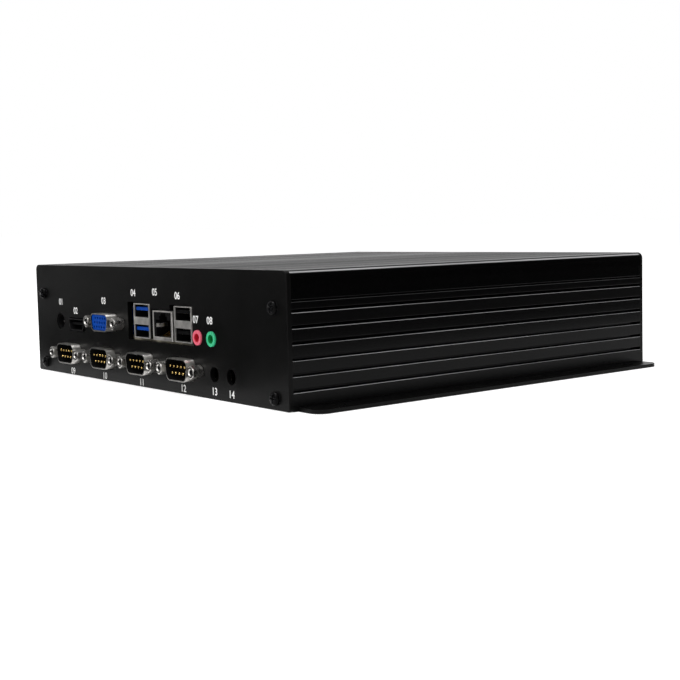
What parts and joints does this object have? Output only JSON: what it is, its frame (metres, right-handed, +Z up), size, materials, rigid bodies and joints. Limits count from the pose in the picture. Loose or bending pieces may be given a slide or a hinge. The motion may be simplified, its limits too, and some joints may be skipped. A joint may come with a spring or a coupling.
{
  "type": "fanless box computer for a sales counter",
  "caption": "Flat black ribbed aluminium box computer on a flanged base plate, with serial, video, network and audio sockets on one end panel and a sprung power button on the other.",
  "frame": {"origin": "middle of the base plate's underside", "axes": "+Z up, -Y out of the connector panel, +X to the right as seen facing that panel"},
  "size_m": [0.234, 0.213, 0.052],
  "materials": {
    "black_anodised": "black anodised, satin",
    "black_paint": "fine matt black powder coat",
    "black_screw": "black oxide",
    "nickel": "bright nickel plate",
    "dark_nickel": "black nickel plate",
    "gold": "gold flash",
    "black_plastic": "moulded",
    "blue_plastic": "moulded",
    "pink_plastic": "moulded",
    "green_plastic": "moulded",
    "circuit_board": "solder resist",
    "chip": "moulded package",
    "pad": "soft thermal sheet",
    "bare_aluminium": "milled",
    "steel": "zinc plated",
    "brass_post": "turned",
    "choke": "pressed ferrite",
    "switch_metal": "bright nickel plate",
    "green_lens": "tinted lens",
    "amber_lens": "tinted lens"
  },
  "bodies": {
    "computer": {"top_housing": "black_anodised", "base_plate": "black_paint", "io_panel": "black_paint", "front_panel": "black_paint", "io_panel_screws": "black_screw", "front_panel_screws": "black_screw", "base_screws": "black_screw", "drive_screws": "black_screw", "analog_video_shell": "nickel", "analog_video_jackscrews": "nickel", "blue_port_shell": "nickel", "black_port_shell": "nickel", "network_jack_shield": "nickel", "serial_jackscrews": "nickel", "dc_jack_pin": "nickel", "serial_shell_1": "nickel", "serial_shell_2": "nickel", "serial_shell_3": "nickel", "serial_shell_4": "nickel", "digital_video_shell": "dark_nickel", "serial_pins": "gold", "network_jack_contacts": "gold", "dc_jack": "black_plastic", "digital_video_tongue": "black_plastic", "black_port_tongues": "black_plastic", "network_jack_insert": "black_plastic", "memory_socket": "black_plastic", "coin_cell_holder": "black_plastic", "serial_link": "black_plastic", "switch_body": "black_plastic", "lamp_holders": "black_plastic", "serial_insert_1": "black_plastic", "serial_insert_2": "black_plastic", "serial_insert_3": "black_plastic", "serial_insert_4": "black_plastic", "analog_video_insert": "blue_plastic", "blue_port_tongues": "blue_plastic", "microphone_jack": "pink_plastic", "speaker_jack": "green_plastic", "mainboard": "circuit_board", "serial_board": "circuit_board", "memory_module": "circuit_board", "processor": "chip", "thermal_pad": "pad", "heat_block": "bare_aluminium", "storage_drive": "bare_aluminium", "board_capacitors": "bare_aluminium", "board_screws": "steel", "heat_block_screws": "steel", "coin_cell": "steel", "return_spring": "steel", "board_standoffs": "brass_post", "board_chokes": "choke", "switch_bushing": "switch_metal", "switch_nut": "switch_metal", "power_lamp": "green_lens", "drive_lamp": "amber_lens"},
    "button": {"power_button": "switch_metal"}
  },
  "joints": [
    {"name": "power_button_press", "type": "slide", "parent": "computer", "child": "button", "axis": [0, -1, 0], "range_m": [0, 0.0015], "stiffness_N_per_m": 1000, "deforming": ["return_spring"]}
  ]
}
